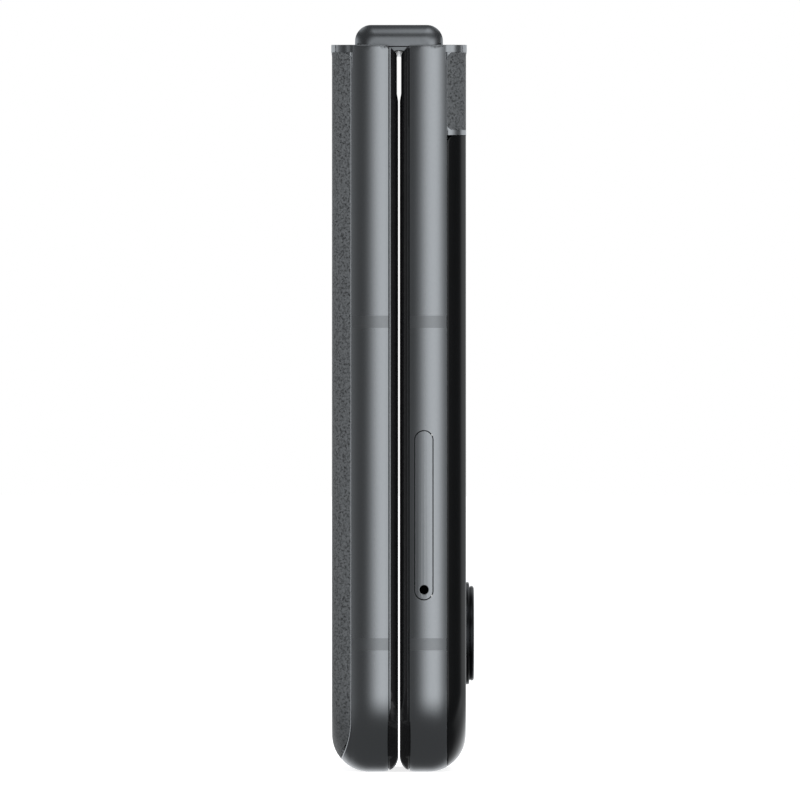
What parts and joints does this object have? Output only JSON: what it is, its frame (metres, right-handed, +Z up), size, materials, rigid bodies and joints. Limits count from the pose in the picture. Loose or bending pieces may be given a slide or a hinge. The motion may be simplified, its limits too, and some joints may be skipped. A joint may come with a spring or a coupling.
{
  "type": "foldable smartphone",
  "caption": "Clamshell folding phone, closed, with a geared twin-axis hinge, folding inner display, leather back, cover glass and raised camera rings.",
  "frame": {"origin": "middle of the closed phone's lowest edge, on the plane of the gap between its halves", "axes": "+Z up from the free ends to the hinge spine, +Y towards the full leather back, +X across the width to the keys"},
  "size_m": [0.0745, 0.0169, 0.0881],
  "materials": {
    "rail_metal": "satin anodised, dark cool grey",
    "band_plastic": "matt insert in the rail's colour",
    "leather": "fine pebbled synthetic leather",
    "inner_plastic": "moulded",
    "bezel_rubber": "soft matt rim",
    "display_glass": "polished folding film, switched off",
    "steel": "stamped sheet",
    "cell": "wrapped pouch cell",
    "board": "solder mask",
    "module_black": "moulded module",
    "tin": "tinned shield",
    "hinge_steel": "sintered steel",
    "spine_metal": "dark anodised",
    "brass": "plain",
    "cover_glass": "black glass, opaque from behind",
    "lens_glass": "coated lens cover",
    "ring_metal": "turned, dark anodised",
    "flash_plastic": "clear diffuser over a pale chip",
    "gasket_rubber": "moulded seal",
    "key_metal": "satin anodised",
    "flex": "polyimide film"
  },
  "bodies": {
    "lower_half": {"lower_frame": "rail_metal", "lower_antenna_bands": "band_plastic", "leather_back": "leather", "back_tray": "inner_plastic", "lower_bezel": "bezel_rubber", "lower_display_plate": "steel", "lower_display_panel": "display_glass", "lower_battery": "cell", "usb_board": "board", "usb_port_shell": "steel", "usb_tongue": "module_black", "loudspeaker": "module_black", "vibration_motor": "steel", "lower_microphone": "brass", "lower_hinge_arms": "hinge_steel", "lower_hinge_screws": "steel"},
    "spine": {"spine_cover": "spine_metal", "spine_end_caps": "spine_metal", "hinge_base_blocks": "hinge_steel", "hinge_pins": "steel", "friction_washers": "steel", "idler_pins": "steel", "spine_screws": "steel", "display_fold": "display_glass"},
    "idler_a": {"idler_gears_a": "brass"},
    "idler_b": {"idler_gears_b": "brass"},
    "flip_half": {"flip_frame": "rail_metal", "flip_antenna_bands": "band_plastic", "leather_strip": "leather", "strip_tray": "inner_plastic", "divider_bar": "rail_metal", "cover_glass": "cover_glass", "cover_display_panel": "display_glass", "flip_bezel": "bezel_rubber", "flip_display_plate": "steel", "flip_display_panel": "display_glass", "camera_base_rings": "ring_metal", "camera_top_rings": "ring_metal", "camera_lens_glasses": "lens_glass", "camera_modules": "module_black", "flash_lens": "flash_plastic", "main_board": "board", "shield_cans": "tin", "flip_battery": "cell", "inner_camera": "module_black", "earpiece": "module_black", "sim_reader": "tin", "key_flex": "flex", "flip_hinge_arms": "hinge_steel", "flip_hinge_screws": "steel"},
    "sim_tray": {"sim_tray": "rail_metal", "sim_gasket": "gasket_rubber"},
    "power_key": {"power_key": "key_metal"},
    "volume_key": {"volume_key": "key_metal"}
  },
  "joints": [
    {"name": "lower_fold", "type": "hinge", "parent": "spine", "child": "lower_half", "pos_m": [0, 0.00225, 0.08355], "axis": [1, 0, 0], "range_deg": [0, 90], "deforming": ["display_fold"]},
    {"name": "flip_fold", "type": "hinge", "parent": "spine", "child": "flip_half", "pos_m": [0, -0.00225, 0.08355], "axis": [-1, 0, 0], "range_deg": [0, 90]},
    {"name": "idler_a_spin", "type": "hinge", "parent": "spine", "child": "idler_a", "pos_m": [0, 0.0008, 0.08618], "axis": [-1, 0, 0], "range_deg": [0, 247.5]},
    {"name": "idler_b_spin", "type": "hinge", "parent": "spine", "child": "idler_b", "pos_m": [0, -0.0008, 0.08618], "axis": [-1, 0, 0], "range_deg": [-247.5, 0]},
    {"name": "sim_tray_slide", "type": "slide", "parent": "flip_half", "child": "sim_tray", "axis": [-1, 0, 0], "range_m": [0, 0.022]},
    {"name": "power_press", "type": "slide", "parent": "flip_half", "child": "power_key", "axis": [-1, 0, 0], "range_m": [0, 0.00025], "stiffness_N_per_m": 600, "springref_m": -0.0005},
    {"name": "volume_press", "type": "slide", "parent": "flip_half", "child": "volume_key", "axis": [-1, 0, 0], "range_m": [0, 0.00025], "stiffness_N_per_m": 600, "springref_m": -0.0005}
  ],
  "couplings": [
    {"joint": "flip_fold", "follows": "lower_fold", "ratio": 1},
    {"joint": "idler_a_spin", "follows": "lower_fold", "ratio": 2.75},
    {"joint": "idler_b_spin", "follows": "lower_fold", "ratio": -2.75}
  ]
}
